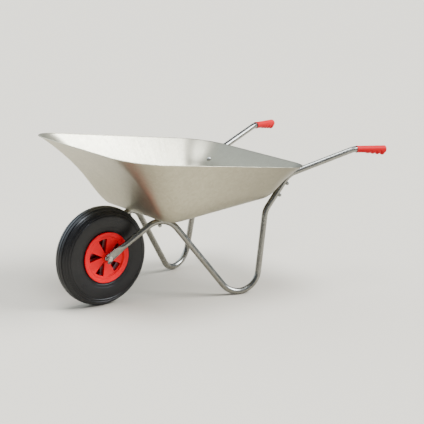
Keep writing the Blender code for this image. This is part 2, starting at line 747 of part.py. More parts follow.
def make_bolt_set(side, place, bolt, mats):
    """A domed bolt from inside the tray, a washer and a nut; at the front, a spacer on the tube."""
    centre, axis = sided(bolt, side)
    name = f"{side}_{place}"
    washer_top = centre - axis * (TUBE_R + bolt["seat"] + GAP)
    nut_top = washer_top - axis * (BOLT_WASHER + GAP)
    head_base = centre + axis * (bolt["reach"] + SHEET + bolt["stand_off"] + GAP)
    shank = (head_base - nut_top).length + BOLT_NUT + BOLT_END
    profile = [(0, BOLT_HEAD)]
    profile += [(BOLT_HEAD_R * math.sin(math.radians(a)), BOLT_HEAD * math.cos(math.radians(a)))
                for a in (30, 55, 75)]
    profile += [(BOLT_HEAD_R, 0), (BOLT_R, 0), (BOLT_R, -shank + 0.0008), (BOLT_R - 0.0008, -shank),
                (0, -shank)]
    on_axis(turned(f"tray_bolt_{name}", profile, mats["bolt"], steps=FASTENER_ROUND), head_base, axis)
    washer = ring(f"tray_washer_{name}", BOLT_R + GAP, BOLT_WASHER_R, BOLT_WASHER, mats["washer"],
                  FASTENER_ROUND)
    on_axis(washer, washer_top, -axis)
    nut = hexagon(f"tray_nut_{name}", BOLT_HEX, BOLT_NUT, BOLT_R + GAP, mats["nut"])
    on_axis(nut, nut_top, -axis)
    if place == "front":
        height = bolt["reach"] - TUBE_R - GAP - bolt["stand_off"]
        spacer = ring(f"tray_spacer_{side}", BOLT_R + GAP, TRAY_SPACER_R, height, mats["spacer"])
        on_axis(spacer, centre + axis * (TUBE_R + GAP), axis)


def sided(bolt, side):
    """A bolt's centre and axis on its side of the barrow."""
    flip = Matrix.Diagonal((1, 1 if side == "left" else -1, 1))
    return flip @ bolt["centre"], flip @ bolt["axis"]


def bolt_hole(place, bolt, side):
    centre, axis = sided(bolt, side)
    hole = cylinder(f"bolt_hole_{side}_{place}", BOLT_HOLE_R, 0.07, FASTENER_ROUND, group=CUTTERS)
    return on_axis(hole, centre - axis * 0.03, axis)


# ---- assembly -----------------------------------------------------------------------
def build():
    galvanised = material("galvanised_sheet", (0.46, 0.45, 0.42), 0.38, 0.9)
    tube_steel = material("galvanised_tube", (0.42, 0.41, 0.39), 0.34, 0.9)
    red_rim = material("red_moulded_plastic", (0.72, 0.012, 0.010), 0.35)
    red_grip = material("red_soft_plastic", (0.70, 0.014, 0.012), 0.42)
    tyre_rubber = material("tyre_rubber", (0.018, 0.018, 0.020), 0.62)
    tube_rubber = material("butyl_rubber", (0.02, 0.02, 0.02), 0.7)
    cap_plastic = material("black_plastic", (0.02, 0.02, 0.02), 0.45)
    bush_plastic = material("nylon", (0.10, 0.10, 0.10), 0.5)
    zinc = material("zinc_plate", (0.40, 0.40, 0.38), 0.35, 0.9)
    mats = {"bolt": zinc, "washer": zinc, "nut": zinc, "spacer": zinc}

    make_tyre(tyre_rubber)
    make_inner_tube(tube_rubber)
    make_valve_cap(cap_plastic)
    make_rim(red_rim)
    for side in ("left", "right"):
        make_bush(side, bush_plastic)
    make_axle(zinc)
    make_axle_pieces(mats)

    tray = make_tray(galvanised)
    tube, path, tube_cutters = make_side_tube(tube_steel)
    bolts = {place: bolt_place(tray, path, *where) for place, where in BOLTS.items()}
    left_holes = [bolt_hole(place, bolt, "left") for place, bolt in bolts.items()]
    right_holes = [bolt_hole(place, bolt, "right") for place, bolt in bolts.items()]
    for cutter in tube_cutters + left_holes:
        boolean(tube, cutter)
    applied(tube)
    for cutter in left_holes + right_holes:
        boolean(tray, cutter)
    divide_floor(applied(tray))
    for cutter in tube_cutters + left_holes + right_holes:
        bpy.data.objects.remove(cutter)
    mirrored("frame_tube_right", tube)
    grip = make_grip(red_grip)
    mirrored("grip_right", grip)
    for side in ("left", "right"):
        for place, bolt in bolts.items():
            make_bolt_set(side, place, bolt, mats)


clear_scene()
PARTS = collection("wheelbarrow")
CUTTERS = collection("cutters")
build()
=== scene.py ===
import math

import bmesh
import bpy
import numpy as np
from mathutils import Matrix, Vector
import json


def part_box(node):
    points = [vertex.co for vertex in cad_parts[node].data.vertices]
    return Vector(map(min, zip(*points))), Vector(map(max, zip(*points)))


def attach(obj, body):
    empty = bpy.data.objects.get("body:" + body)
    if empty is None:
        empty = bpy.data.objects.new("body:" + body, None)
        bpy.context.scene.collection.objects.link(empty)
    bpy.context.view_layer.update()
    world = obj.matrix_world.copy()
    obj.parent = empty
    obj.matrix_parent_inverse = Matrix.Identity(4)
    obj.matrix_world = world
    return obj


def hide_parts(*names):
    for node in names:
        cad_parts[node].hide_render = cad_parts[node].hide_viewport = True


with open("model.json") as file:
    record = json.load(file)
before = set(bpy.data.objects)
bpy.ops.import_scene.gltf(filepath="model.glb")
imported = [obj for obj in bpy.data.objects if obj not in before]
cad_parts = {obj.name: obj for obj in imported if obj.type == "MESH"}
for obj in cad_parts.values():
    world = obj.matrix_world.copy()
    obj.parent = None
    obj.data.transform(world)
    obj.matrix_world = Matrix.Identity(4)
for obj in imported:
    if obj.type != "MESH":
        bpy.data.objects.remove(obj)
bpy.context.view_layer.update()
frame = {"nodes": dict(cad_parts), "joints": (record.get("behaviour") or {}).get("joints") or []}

# A galvanised garden wheelbarrow, in the CAD model's frame: metres, +X forwards to the
# wheel, +Y to the operator's left, +Z up.

# ---- what the frame says ---------------------------------------------
AXLE = Vector(frame["joints"][0]["pos_m"])
WHEEL_R = AXLE.z
TYRE_HALF_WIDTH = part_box("tyre")[1].y
RIM_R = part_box("rim")[1].x - AXLE.x
HUB_HALF_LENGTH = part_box("rim")[1].y
SIDES = (("left", 1), ("right", -1))
BOLT_PLACES = ("front", "lower", "upper")

# ---- wheel: the CAD's measures ---------------------------------------
RIM_HALF_WIDTH = 0.0445
BEAD_HALF_WIDTH = 0.0372
BEAD_R = 0.0985
TYRE_WIDEST_R = 0.1500
WEB_HALF_WIDTH = 0.0360
WEB_R = 0.0790
CAVITY_HALF_WIDTH = 0.0080
CAVITY_R = (0.0200, 0.0840)
WINDOW_COUNT = 5
WINDOW_ANGLE = math.radians(31)
WINDOW_FIRST = math.radians(151.4)
WINDOW_R = (0.0165, 0.0755)
HUB_R = 0.0185
BUSH_R = 0.0090
VALVE_HOLE_R = 0.0045

# ---- side tubes: the CAD's measures, but for the foot's corner -------
TUBE_R = 0.0125
FORK_Y = 0.0600
FORK_HALF_WIDTH = 0.0172
FORK_MID = 0.0020
FORK_LIP = 0.0040
FORK_TIP = 0.0170
FORK_FLAT = 0.028
FORK_ROUND = 0.085
FORK_RISE = math.radians(34.0)
FORK_BEND = 0.12
SPLAY = 0.2879
LEAN = 0.0872
SIDE_Y = 0.0572
SIDE_CORNERS = [                # x, z and bend radius, from the fork to the handle
    (0.2682, 0.3607, 0.0868),
    (-0.0757, -0.1175, 0.088),  # 0.2 mm above the CAD's, to keep the smooth bend off the ground
    (-0.1499, 0.3359, 0.080),
    (-0.2554, 0.4767, 0.080),
    (-0.5450, 0.5604, 0.080),
]
HANDLE_END = (-0.6860, 0.5518)

# ---- grips -----------------------------------------------------------
GRIP_START = 0.0135
GRIP_END_X = -0.6886            # 0.4 mm short of the CAD's, to keep the smooth end inside its box
GRIP_R = (0.0142, 0.0155)
GRIP_LOBES = 4
GRIP_LOBE_SPAN = (0.30, 0.97)
GRIP_LOBE = (0.0020, 0.0105)

# ---- tray: the CAD's measures, and a small inset ---------------------
RIM_FRONT = Vector((0.6120, 0.3900, 0.6488))
RIM_REAR = Vector((-0.3027, 0.3750, 0.5185))
FLOOR_FRONT = Vector((0.3589, 0.2630, 0.3460))
FLOOR_REAR = Vector((-0.1960, 0.2767, 0.3985))
RIM_CORNER_R = (0.151, 0.145)
FLOOR_CORNER_R = (0.066, 0.077)
FLARE = (0.59, 0.20, 0.76)
FLOOR_FILLET = 0.045
REAR_FILLET_SHARE = 0.55
FILLET_DEPTH = 0.36
SHEET = 0.0012
TRAY_INSET = 0.0010             # the smooth corners stay inside the CAD's faceted ones

# ---- camera and light ------------------------------------------------
CAMERA_PLACE = Vector((3.4233, 4.4754, 1.7204))
CAMERA_YAW = math.radians(37.856)
CAMERA_PITCH = math.radians(14.110)
CAMERA_ROLL = math.radians(0.533)
CAMERA_LENS = 118.65
CAMERA_SENSOR = 36.0
CAMERA_CLIP = (0.1, 200.0)
FLOOR_SIZE = 80.0
FLOOR_SQUARES = 8
FLOOR_DROP = 0.0004             # keeps the floor just clear of the tyre and the feet
FLOOR_COLOUR = (0.46, 0.41, 0.335)
SKY_BASE = (0.30, 0.33, 0.37)
SKY_LIGHTS = [                  # direction, half angle and soft edge in degrees, radiance
    ((0.10, 0.04, 1.00), 13, 9, (24.0, 26.0, 28.5)),
    ((-0.55, 0.50, 0.67), 15, 9, (29.0, 31.0, 33.5)),
    ((0.31, -0.77, 0.56), 28, 20, (2.7, 3.15, 3.5)),
]


# ---- mesh helpers ----------------------------------------------------
def smoothstep(low, high, value):
    share = min(max((value - low) / (high - low), 0.0), 1.0)
    return share * share * (3 - 2 * share)


def lofted(rings, wrap=False, caps=False):
    """A mesh through rings of points; wrap joins the last ring to the first."""
    bm = bmesh.new()
    loops = [[bm.verts.new(place) for place in ring] for ring in rings]
    pairs = list(zip(loops, loops[1:]))
    if wrap:
        pairs.append((loops[-1], loops[0]))
    for one, two in pairs:
        for j in range(len(one)):
            k = (j + 1) % len(one)
            bm.faces.new((one[j], one[k], two[k], two[j]))
    if caps:
        bm.faces.new(loops[0])
        bm.faces.new(loops[-1])
    bmesh.ops.recalc_face_normals(bm, faces=bm.faces)
    return bm


def circle(radius, height, steps):
    angles = [2 * math.pi * i / steps for i in range(steps)]
    return [(radius * math.cos(angle), radius * math.sin(angle), height) for angle in angles]


def turned(profile, steps, closed=True):
    """A profile of (radius, height) points turned about Z; an open one is capped."""
    rings = [circle(radius, height, steps) for radius, height in profile]
    return lofted(rings, wrap=closed, caps=not closed)


def arc(centre, radius, start, end, count):
    """Points of an arc in a profile, angles in degrees from +X."""
    points = []
    for i in range(count + 1):
        angle = math.radians(start + (end - start) * i / count)
        points.append((centre[0] + radius * math.cos(angle), centre[1] + radius * math.sin(angle)))
    return points


def distances_along(path):
    """How far each point lies along its path."""
    around = [0.0]
    for one, two in zip(path, path[1:]):
        around.append(around[-1] + (two - one).length)
    return around


def smooth(obj, crease):
    obj.data.shade_smooth()
    obj.data.set_sharp_from_angle(angle=math.radians(crease))


def mesh_object(name, bm, mat=None, crease=35):
    """An object in the scene from a bmesh; edges sharper than the crease angle stay sharp."""
    mesh = bpy.data.meshes.new(name)
    bm.to_mesh(mesh)
    bm.free()
    obj = bpy.data.objects.new(name, mesh)
    smooth(obj, crease)
    if mat:
        mesh.materials.append(mat)
    bpy.context.scene.collection.objects.link(obj)
    return obj


def grain(obj, values):
    """Store each vertex's place on the unrolled surface, for patterns that follow it."""
    flat = [number for value in values for number in value]
    obj.data.attributes.new("grain", "FLOAT_VECTOR", "POINT").data.foreach_set("vector", flat)


def applied(obj):
    """Fix the object's modifiers into its mesh."""
    graph = bpy.context.evaluated_depsgraph_get()
    mesh = bpy.data.meshes.new_from_object(obj.evaluated_get(graph))
    obj.modifiers.clear()
    obj.data = mesh


def cut(obj, cutters):
    """Cut each cutter from the object, and remove the cutters."""
    for cutter in cutters:
        mod = obj.modifiers.new("Cut", "BOOLEAN")
        mod.operation = "DIFFERENCE"
        mod.solver = "EXACT"
        mod.object = cutter
    applied(obj)
    for cutter in cutters:
        bpy.data.objects.remove(cutter)


def on_body(obj, body, slot, *nodes):
    """Put a finished piece on its body, in place of its CAD nodes."""
    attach(obj, body)
    if nodes:
        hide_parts(*nodes)


def mirrored(name, obj):
    """The same piece on the other side of the barrow."""
    bm = bmesh.new()
    bm.from_mesh(obj.data)
    bm.transform(Matrix.Diagonal((1, -1, 1, 1)) @ obj.matrix_world)
    bmesh.ops.reverse_faces(bm, faces=bm.faces)
    return mesh_object(name, bm, obj.data.materials[0])


def prism(name, outline, depth):
    """A flat outline of (x, y) points extruded to both sides of Z = 0."""
    rings = [[(x, y, side * depth) for x, y in outline] for side in (-1, 1)]
    return mesh_object(name, lofted(rings, caps=True))


# ---- materials -------------------------------------------------------
def join(tree, value, socket):
    """Link a socket to another one, or give it a plain value."""
    if isinstance(value, bpy.types.NodeSocket):
        tree.links.new(value, socket)
    else:
        socket.default_value = value


def add_node(tree, kind, inputs=None, **settings):
    """A new node with its settings made and its inputs joined."""
    node = tree.nodes.new(kind)
    for key, value in settings.items():
        setattr(node, key, value)
    for key, value in (inputs or {}).items():
        join(tree, value, node.inputs[key])
    return node


class Shader:
    """A Principled material, with short calls for its nodes."""

    def __init__(self, name, **plain):
        self.mat = bpy.data.materials.new(name)
        self.mat.use_nodes = True
        self.tree = self.mat.node_tree
        self.bsdf = self.tree.nodes["Principled BSDF"]
        for key, value in plain.items():
            socket = key.replace("_", " ").title().replace("Ior", "IOR")
            self.bsdf.inputs[socket].default_value = value

    def node(self, kind, inputs=None, **settings):
        return add_node(self.tree, kind, inputs, **settings)

    def object_place(self):
        return self.node("ShaderNodeTexCoord").outputs["Object"]

    def grain(self):
        return self.node("ShaderNodeAttribute", attribute_name="grain").outputs["Vector"]

    def stretched(self, place, scale):
        return self.node("ShaderNodeMapping", {"Vector": place, "Scale": scale}).outputs["Vector"]

    def noise(self, place, scale, detail=2.0, roughness=0.5):
        inputs = {"Vector": place, "Scale": scale, "Detail": detail, "Roughness": roughness}
        return self.node("ShaderNodeTexNoise", inputs).outputs["Fac"]

    def cells(self, place, scale):
        """A different grey in each crystal-like cell."""
        voronoi = self.node("ShaderNodeTexVoronoi", {"Vector": place, "Scale": scale})
        split = self.node("ShaderNodeSeparateColor", {"Color": voronoi.outputs["Color"]})
        return split.outputs["Red"]

    def ramp(self, value, low, high, to_low=0.0, to_high=1.0):
        inputs = {"Value": value, "From Min": low, "From Max": high, "To Min": to_low,
                  "To Max": to_high}
        return self.node("ShaderNodeMapRange", inputs).outputs["Result"]

    def math(self, operation, one, two=0.0):
        return self.node("ShaderNodeMath", {0: one, 1: two}, operation=operation).outputs["Value"]

    def weighted(self, *layers):
        """The sum of (value, weight) layers."""
        total = self.math("MULTIPLY", *layers[0])
        for value, weight in layers[1:]:
            total = self.math("ADD", total, self.math("MULTIPLY", value, weight))
        return total

    def mix(self, share, one, two):
        """A colour between two, each a socket or a colour."""
        node = self.node("ShaderNodeMix", data_type="RGBA")
        for name, value in (("Factor", share), ("A", one), ("B", two)):
            if isinstance(value, tuple):
                value = (*value, 1.0)
            join(self.tree, value, self._in_use(node.inputs, name))
        return self._in_use(node.outputs, "Result")

    @staticmethod
    def _in_use(sockets, name):
        """Mix nodes hold one socket of each name for each data type; take the one in use."""
        return next(socket for socket in sockets if socket.name == name and socket.enabled)

    def bumps(self, *layers):
        """Chain bump nodes; each layer is (height socket, distance in metres, strength)."""
        normal = None
        for height, distance, strength in layers:
            inputs = {"Height": height, "Distance": distance, "Strength": strength}
            if normal:
                inputs["Normal"] = normal
            normal = self.node("ShaderNodeBump", inputs).outputs["Normal"]
        self.tree.links.new(normal, self.bsdf.inputs["Normal"])

    def drive(self, socket, value):
        self.tree.links.new(value, self.bsdf.inputs[socket])


PAINTED_SHADE_X = (-0.27, 0.24)        # painted shade: the sheet is darkened behind the first x and plain before the other
PAINTED_SHADE_SHARE = 0.80


def galvanised_sheet():
    """Hot-dipped sheet: faint crystals, streaks down the walls, soft waves, and painted shade that
    darkens it towards the rear.
    """
    s = Shader("galvanised_sheet", metallic=1.0)
    place, flow = s.object_place(), s.grain()
    crystals = s.cells(place, 95.0)
    fine = s.cells(place, 240.0)
    streaks = s.noise(s.stretched(flow, (70.0, 3.0, 1.0)), 1.0, 4.0, 0.6)
    clouds = s.noise(place, 5.0, 3.0)
    tone = s.weighted((crystals, 0.30), (streaks, 0.45), (clouds, 0.35))
    colour = s.mix(s.ramp(tone, 0.30, 0.80), (0.385, 0.356, 0.266), (0.462, 0.430, 0.324))
    along = s.node("ShaderNodeSeparateXYZ", {"Vector": place}).outputs["X"]
    # painted shade: the colour is darkened towards the tray's rear, so the rear of the walls looks
    # shaded
    painted_shade = s.ramp(along, *PAINTED_SHADE_X, PAINTED_SHADE_SHARE, 0.0)
    s.drive("Base Color", s.mix(painted_shade, colour, (0.10, 0.09, 0.068)))
    s.drive("Roughness", s.math("ADD", s.ramp(fine, 0.0, 1.0, 0.37, 0.43),
                                s.ramp(streaks, 0.3, 0.7, -0.03, 0.04)))
    s.bumps((s.noise(place, 9.0, 1.0), 0.0016, 0.35),
            (streaks, 0.00006, 0.5),
            (s.noise(place, 900.0, 2.0), 0.00003, 0.5))
    return s.mat


def galvanised_tube():
    """Drawn tube: long fine lines, small crystals and a little dullness at random."""
    s = Shader("galvanised_tube", metallic=1.0)
    place, flow = s.object_place(), s.grain()
    lines = s.noise(s.stretched(flow, (420.0, 420.0, 6.0)), 1.0, 3.0, 0.6)
    clouds = s.noise(place, 28.0, 4.0, 0.6)
    crystals = s.cells(place, 260.0)
    tone = s.weighted((lines, 0.45), (clouds, 0.35), (crystals, 0.20))
    s.drive("Base Color", s.mix(s.ramp(tone, 0.30, 0.75), (0.155, 0.150, 0.133),
                                (0.295, 0.288, 0.258)))
    s.drive("Roughness", s.ramp(clouds, 0.25, 0.75, 0.20, 0.31))
    s.bumps((lines, 0.00008, 0.5), (s.noise(place, 500.0, 2.0), 0.00003, 0.4))
    return s.mat


def zinc(name, colour, rough):
    """Plated fastener: fine tumbling marks and darker patches at random."""
    s = Shader(name, metallic=1.0)
    place = s.object_place()
    specks = s.noise(place, 1400.0, 3.0)
    clouds = s.noise(place, 160.0, 3.0)
    darker = tuple(0.62 * c for c in colour)
    s.drive("Base Color", s.mix(s.ramp(clouds, 0.3, 0.7), darker, colour))
    s.drive("Roughness", s.ramp(specks, 0.3, 0.7, rough - 0.06, rough + 0.10))
    s.bumps((specks, 0.00003, 0.6))
    return s.mat


def moulded(name, dark, light, rough, pitting):
    """Moulded plastic: slight flow marks, fine orange peel and scuffs that catch the light.

    The higher the pitting, the finer the orange peel is.
    """
    s = Shader(name, specular_ior_level=0.10)
    place = s.object_place()
    flow = s.noise(place, 22.0, 3.0)
    scuffs = s.noise(s.stretched(place, (60.0, 240.0, 60.0)), 1.0, 5.0, 0.7)
    s.drive("Base Color", s.mix(s.ramp(flow, 0.3, 0.7), dark, light))
    s.drive("Roughness", s.ramp(scuffs, 0.35, 0.75, rough, rough + 0.16))
    s.bumps((s.noise(place, pitting, 2.0), 0.00005, 0.35))
    return s


def rim_plastic():
    """The rim's red plastic, with painted shade darkening it in its windows."""
    s = moulded("red_rim_plastic", dark=(0.70, 0.0025, 0.0110), light=(0.78, 0.0035, 0.0135),
                rough=0.32, pitting=900.0)
    # painted shade: the window walls and the cavity, sunk below the web's face, are darkened as if
    # shaded
    across = s.node("ShaderNodeSeparateXYZ", {"Vector": s.object_place()}).outputs["Z"]
    depth = s.math("ABSOLUTE", across)
    unshaded = s.ramp(depth, WEB_HALF_WIDTH - 0.0040, WEB_HALF_WIDTH - 0.0006)
    plain = s.bsdf.inputs["Base Color"].links[0].from_socket
    s.drive("Base Color", s.mix(unshaded, (0.23, 0.0010, 0.0030), plain))
    return s.mat


def grip_plastic():
    s = moulded("red_grip_plastic", dark=(0.38, 0.0010, 0.0055), light=(0.45, 0.0016, 0.0070),
                rough=0.42, pitting=1500.0)
    return s.mat


def tyre_rubber():
    """Vulcanised rubber: hair lines round the tyre, a dusty bloom and fine pitting."""
    s = Shader("tyre_rubber", specular_ior_level=0.28)
    place, flow = s.object_place(), s.grain()
    lines = s.noise(s.stretched(flow, (900.0, 1.0, 3.0)), 1.0, 3.0, 0.6)
    bloom = s.noise(place, 14.0, 4.0, 0.6)
    s.drive("Base Color", s.mix(s.ramp(bloom, 0.35, 0.75), (0.0034, 0.0034, 0.0044),
                                (0.0088, 0.0082, 0.0080)))
    s.drive("Roughness", s.math("ADD", s.ramp(bloom, 0.3, 0.7, 0.26, 0.38),
                                s.ramp(lines, 0.3, 0.7, -0.04, 0.06)))
    s.bumps((lines, 0.00010, 0.5), (s.noise(place, 1200.0, 2.0), 0.00004, 0.4))
    return s.mat


def matt_black(name, grey, rough):
    """Dull black rubber or plastic, a little mottled."""
    s = Shader(name)
    place = s.object_place()
    mottle = s.noise(place, 120.0, 3.0)
    s.drive("Base Color", s.mix(mottle, (grey * 0.6,) * 3, (grey * 1.4,) * 3))
    s.drive("Roughness", s.ramp(mottle, 0.3, 0.7, rough - 0.05, rough + 0.08))
    s.bumps((s.noise(place, 900.0, 2.0), 0.00004, 0.5))
    return s.mat


def floor_paint():
    """A plain pale floor, very slightly uneven in tone."""
    s = Shader("floor_paint", roughness=0.85, specular_ior_level=0.2)
    wash = s.noise(s.object_place(), 0.7, 2.0)
    darker = tuple(0.99 * c for c in FLOOR_COLOUR)
    s.drive("Base Color", s.mix(wash, darker, FLOOR_COLOUR))
    return s.mat


# ---- tyre ------------------------------------------------------------
TREAD_GROOVES = [0.0075, 0.0225]    # distances from the tyre's middle plane
TREAD_GROOVE = (0.0029, 0.0030)     # half width and depth
SHOULDER_LINES = [0.1885, 0.1790, 0.1690]   # radii of the finer lines
SHOULDER_LINE = (0.0022, 0.0017)    # half width and depth
SHOULDER_FROM = 0.030               # the finer lines are further from the middle plane
SIDEWALL_RINGS = [              # radius, half width, height
    (0.1125, 0.0022, 0.0007),
    (0.1215, 0.0008, -0.0005),
]
TYRE_SIDE_START = 0.62          # share of the half section where the side turns in to the bead
TYRE_FULLNESS = 0.80            # below 1 the section is fuller than an ellipse
BEAD_THICKNESS = 0.030          # from the bead's outer face to the hollow
BEAD_EDGE = 0.001
HOLLOW_HALF = (0.037, 0.036)    # half height and half width of the hollow
HOLLOW_TURN = 150               # degrees from the crown to where the hollow's arc ends
HOLLOW_STEPS = 12
TYRE_STEPS = 180
SECTION_STEPS = 190


def tyre_section(share):
    """Smooth half section from the crown, at 0, to the bead, at 1: radius and distance out."""
    bead_top = RIM_R + 0.002
    if share < TYRE_SIDE_START:
        angle = math.radians(90) * share / TYRE_SIDE_START
        rise = max(math.cos(angle), 0.0) ** TYRE_FULLNESS
        return (TYRE_WIDEST_R + (WHEEL_R - TYRE_WIDEST_R) * rise,
                TYRE_HALF_WIDTH * math.sin(angle) ** TYRE_FULLNESS)
    down = (share - TYRE_SIDE_START) / (1 - TYRE_SIDE_START)
    radius = TYRE_WIDEST_R + (bead_top - TYRE_WIDEST_R) * down
    return radius, BEAD_HALF_WIDTH + (TYRE_HALF_WIDTH - BEAD_HALF_WIDTH) * (1 - down ** 2)


def groove(offset, half_width, depth):
    """Depth of a round-edged groove at a distance from its middle."""
    return depth * (1 - smoothstep(0.35, 1.0, abs(offset) / half_width))


def tyre_relief(radius, out):
    """How far the surface is sunk at a point of the section."""
    sunk = 0.0
    if radius > TYRE_WIDEST_R:
        for place in TREAD_GROOVES:
            sunk += groove(out - place, *TREAD_GROOVE)
        if out > SHOULDER_FROM:
            for place in SHOULDER_LINES:
                sunk += groove(radius - place, *SHOULDER_LINE)
    else:
        for place, half_width, height in SIDEWALL_RINGS:
            sunk -= groove(radius - place, half_width, height)
    return sunk


def make_tyre(mat):
    """A hollow tyre, open at the beads, with grooves and rings in its surface."""
    half = []
    for i in range(SECTION_STEPS + 1):
        radius, out = tyre_section(i / SECTION_STEPS)
        ahead = tyre_section(min(1.0, (i + 0.5) / SECTION_STEPS))
        behind = tyre_section(max(0.0, (i - 0.5) / SECTION_STEPS))
        normal = Vector((ahead[1] - behind[1], behind[0] - ahead[0])).normalized()
        sunk = tyre_relief(radius, out)
        half.append((radius - normal.x * sunk, out - normal.y * sunk))
    half += [(BEAD_R + BEAD_EDGE, BEAD_HALF_WIDTH), (BEAD_R, BEAD_HALF_WIDTH - BEAD_EDGE)]
    outer = half[:0:-1] + [(radius, -out) for radius, out in half]
    inner = [(BEAD_R, BEAD_THICKNESS - BEAD_HALF_WIDTH)]
    for i in range(HOLLOW_STEPS + 1):
        angle = math.radians(-HOLLOW_TURN + 2 * HOLLOW_TURN * i / HOLLOW_STEPS)
        inner.append((TYRE_WIDEST_R + 0.001 + HOLLOW_HALF[0] * math.cos(angle),
                      HOLLOW_HALF[1] * math.sin(angle)))
    inner.append((BEAD_R, BEAD_HALF_WIDTH - BEAD_THICKNESS))
    profile = outer + inner
    tyre = mesh_object("tyre_skin", turned(profile, TYRE_STEPS), mat)
    lengths, travelled = [], 0.0
    for before, point in zip([profile[0]] + profile, profile):
        travelled += math.dist(before, point)
        lengths.append(travelled)
    grain(tyre, [(length, 0.0, WHEEL_R * 2 * math.pi * i / TYRE_STEPS)
                 for length in lengths for i in range(TYRE_STEPS)])
    return on_axle(tyre)


def on_axle(obj):
    """Lay a piece that was made about Z along the axle."""
    obj.matrix_world = Matrix.Translation(AXLE) @ Matrix.Rotation(math.radians(-90), 4, "X")
    return obj


# ---- rim -------------------------------------------------------------
RIM_STEPS = 150
RIM_EDGE = 0.0007               # rounding of the windows' edges
WINDOW_CORNER_R = 0.0030
WINDOW_TIP = (0.0004, 0.0003)   # how far the point reaches in past its radius, and half its width
WINDOW_CUT = 0.02               # how far the cutters reach past the web
VALVE_HOLE_REACH = (0.088, 0.02)    # radius of its middle, and half its length


def window_outline(index):
    """A wedge with rounded outer corners and a nearly sharp point by the hub."""
    outside, corner = WINDOW_R[1], WINDOW_CORNER_R
    reach = outside - corner
    aim = WINDOW_ANGLE / 2 - math.asin(corner / reach)
    x, y, tilt = reach * math.cos(aim), reach * math.sin(aim), math.degrees(aim)
    tip = WINDOW_R[0] - WINDOW_TIP[0]
    points = [(tip, WINDOW_TIP[1]), (tip, -WINDOW_TIP[1])]
    points += arc((x, -y), corner, -tilt - 90, -tilt, 3)
    points += [(outside * math.cos(aim * share), outside * math.sin(aim * share))
               for share in (-0.6, -0.2, 0.2, 0.6)]
    points += arc((x, y), corner, tilt, tilt + 90, 3)
    turn = Matrix.Rotation(-(WINDOW_FIRST + 2 * math.pi / WINDOW_COUNT * index), 2)
    return [tuple(turn @ Vector(point)) for point in points]


def make_rim(mat):
    """A moulded rim: its hub, two webs with a cavity between, five windows and a rounded lip."""
    lip = 0.0018
    half = [(BUSH_R + 0.0003, HUB_HALF_LENGTH - 0.0008), (BUSH_R + 0.0011, HUB_HALF_LENGTH)]
    half += arc((HUB_R - 0.0012, HUB_HALF_LENGTH - 0.0012), 0.0012, 90, 0, 4)
    half += arc((HUB_R + 0.0022, WEB_HALF_WIDTH + 0.0022), 0.0020, 185, 270, 5)
    half += arc((WEB_R - 0.0022, WEB_HALF_WIDTH + 0.0022), 0.0022, 270, 350, 5)
    half += arc((WEB_R + 0.0026, RIM_HALF_WIDTH - 0.0012), 0.0012, 165, 90, 4)
    half += [(0.0860, RIM_HALF_WIDTH), (0.0872, RIM_HALF_WIDTH - 0.0007),
             (0.0884, RIM_HALF_WIDTH - 0.0007), (0.0896, RIM_HALF_WIDTH)]
    half += arc((RIM_R - lip, RIM_HALF_WIDTH - lip), lip, 90, 0, 7)
    half += arc((RIM_R - 0.0012, BEAD_HALF_WIDTH + 0.0015), 0.0012, 0, -90, 4)
    half += [(BEAD_R - 0.0003, BEAD_HALF_WIDTH + 0.0003)]
    profile = half + [(radius, -out) for radius, out in reversed(half)]
    rim = mesh_object("rim_moulding", turned(profile, RIM_STEPS), mat)
    (low, high), deep = CAVITY_R, CAVITY_HALF_WIDTH
    cavity = [(high, deep), (high, -deep), (low, -deep), (low, deep)]
    cutters = [mesh_object("cavity", turned(cavity, 72))]
    for index in range(WINDOW_COUNT):
        cutters.append(prism(f"window_{index}", window_outline(index), WEB_HALF_WIDTH + WINDOW_CUT))
    middle, reach = VALVE_HOLE_REACH
    ends = [(VALVE_HOLE_R, reach), (VALVE_HOLE_R, -reach)]
    hole = mesh_object("valve_hole", turned(ends, 24, closed=False))
    hole.matrix_world = (Matrix.Rotation(-WINDOW_FIRST, 4, "Z") @ Matrix.Translation((middle, 0, 0))
                         @ Matrix.Rotation(math.radians(90), 4, "Y"))
    cutters.append(hole)
    cut(rim, cutters)
    bevel = rim.modifiers.new("Edges", "BEVEL")
    bevel.width = RIM_EDGE
    bevel.segments = 2
    bevel.limit_method = "ANGLE"
    bevel.angle_limit = math.radians(50)
    bevel.use_clamp_overlap = True
    applied(rim)
    smooth(rim, crease=35)
    return on_axle(rim)


# ---- side tubes ------------------------------------------------------
BEND_STEP = math.radians(3)
TUBE_SIDES = 48
STRAIGHT_STEP = 0.004           # spacing of the rings where the fork's end is shaped
FORK_FROM_X = 0.3               # the tube is round behind this x
SLOT_R = 0.0064
CUTTER_REACH = (0.05, 0.03, 0.02)   # past the tip, to each side and in depth


def side_point(x, z):
    """The point of the left tube's leaning plane at an x and a z."""
    return Vector((x, SIDE_Y + SPLAY * (AXLE.x - x) - LEAN * (z - AXLE.z), z))


def filleted(corners, radii):
    """A path through the corners with each inner corner rounded to its radius."""
    path = [corners[0]]
    for before, corner, after, radius in zip(corners, corners[1:], corners[2:], radii):
        back = (before - corner).normalized()
        ahead = (after - corner).normalized()
        turn = math.pi - back.angle(ahead)
        centre = corner + (back + ahead).normalized() * (radius / math.cos(turn / 2))
        start = corner + back * (radius * math.tan(turn / 2)) - centre
        axis = back.cross(start).normalized()
        steps = max(2, math.ceil(turn / BEND_STEP))
        for i in range(steps + 1):
            path.append(centre + Matrix.Rotation(turn * i / steps, 3, axis) @ start)
    path.append(corners[-1])
    return path


def spaced(path, step, most):
    """Add points to the path's long straights, closer together over its first stretch."""
    dense, travelled = [path[0]], 0.0
    for first, second in zip(path, path[1:]):
        length = (second - first).length
        count = max(1, math.ceil(length / (step if travelled < most else 10 * step)))
        dense += [first.lerp(second, i / count) for i in range(1, count + 1)]
        travelled += length
    return dense


